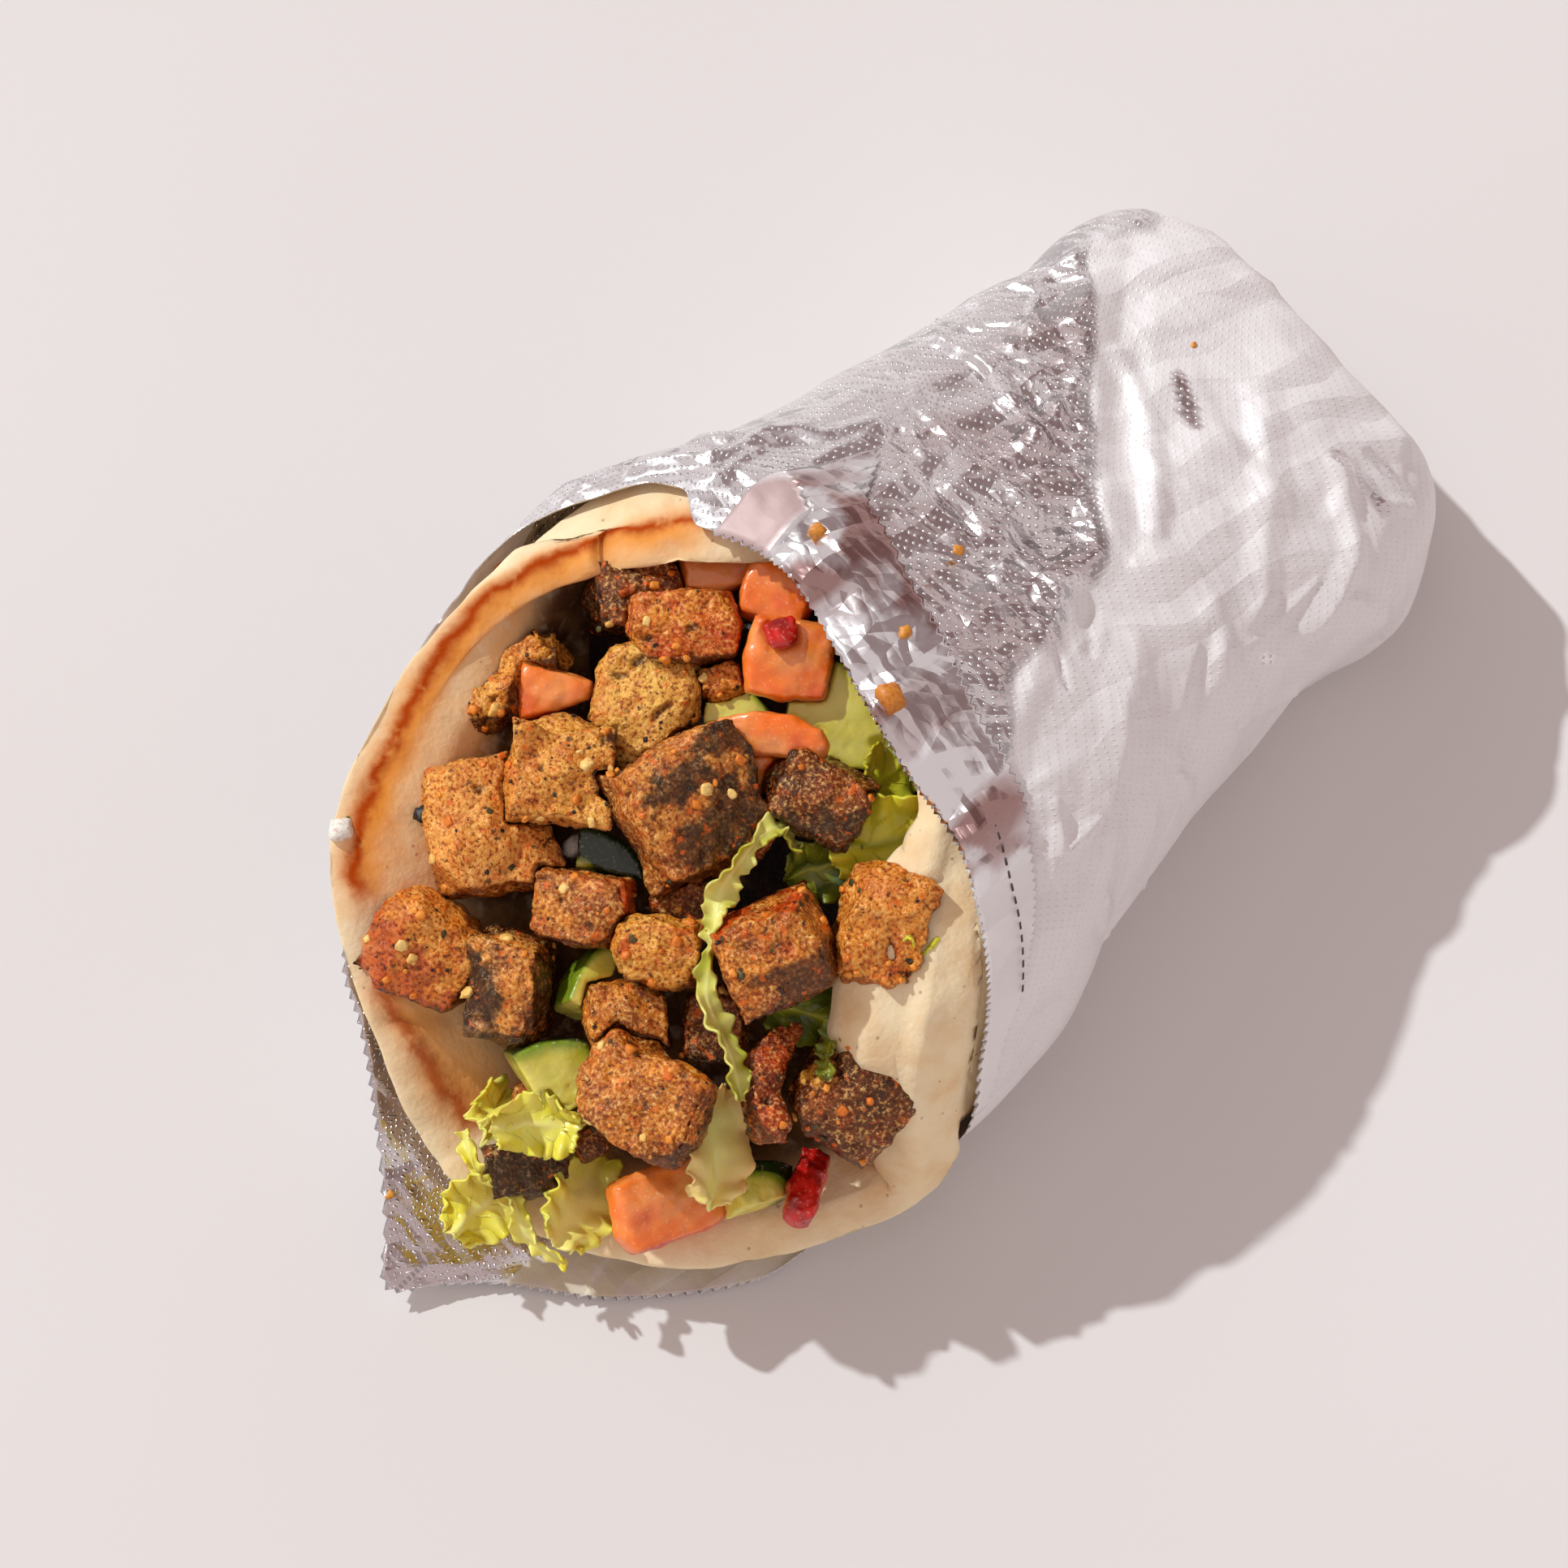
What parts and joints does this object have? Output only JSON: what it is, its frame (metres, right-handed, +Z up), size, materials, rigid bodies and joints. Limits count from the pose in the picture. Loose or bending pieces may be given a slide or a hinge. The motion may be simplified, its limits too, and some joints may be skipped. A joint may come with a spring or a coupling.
{
  "type": "gyro wrap",
  "caption": "Gyro wrap lying on its side: rolled flatbread in embossed foil, its slanted mouth open on diced grilled meat, tomato, cucumber and lettuce.",
  "frame": {"origin": "middle of the bounding box at the height of the surface it lies on", "axes": "+Y along the wrap toward its closed foil end, the mouth faces -Y and up, +Z up"},
  "size_m": [0.1148, 0.2084, 0.0622],
  "materials": {
    "foil": "embossed paper-backed foil, crumpled",
    "bread": null,
    "meat": "grilled, crumbly and slightly oily",
    "tomato": "wet cut tomato",
    "pepper": "wet red pepper",
    "cucumber": "wet cut cucumber",
    "lettuce": "thin crisp leaf",
    "filling": "unseen filling under the pieces"
  },
  "bodies": {
    "root": {"cucumber_01": "cucumber", "cucumber_02": "cucumber", "cucumber_03": "cucumber", "cucumber_04": "cucumber", "cucumber_05": "cucumber", "cucumber_06": "cucumber", "filling_core": "filling", "foil_collar": "foil", "foil_wrap": "foil", "lettuce_01": "lettuce", "lettuce_02": "lettuce", "lettuce_03": "lettuce", "lettuce_04": "lettuce", "lettuce_05": "lettuce", "lettuce_06": "lettuce", "lettuce_07": "lettuce", "lettuce_08": "lettuce", "lettuce_09": "lettuce", "lettuce_10": "lettuce", "meat_01": "meat", "meat_02": "meat", "meat_03": "meat", "meat_04": "meat", "meat_05": "meat", "meat_06": "meat", "meat_07": "meat", "meat_08": "meat", "meat_09": "meat", "meat_10": "meat", "meat_11": "meat", "meat_12": "meat", "meat_13": "meat", "meat_14": "meat", "meat_15": "meat", "meat_16": "meat", "meat_17": "meat", "meat_18": "meat", "meat_19": "meat", "meat_20": "meat", "meat_21": "meat", "meat_22": "meat", "meat_23": "meat", "meat_24": "meat", "pepper_01": "pepper", "pepper_02": "pepper", "pita": "bread", "strand_01": "lettuce", "strand_02": "lettuce", "strand_03": "lettuce", "tomato_01": "tomato", "tomato_02": "tomato", "tomato_03": "tomato", "tomato_04": "tomato", "tomato_05": "tomato", "tomato_06": "tomato", "tomato_07": "tomato"}
  },
  "joints": []
}
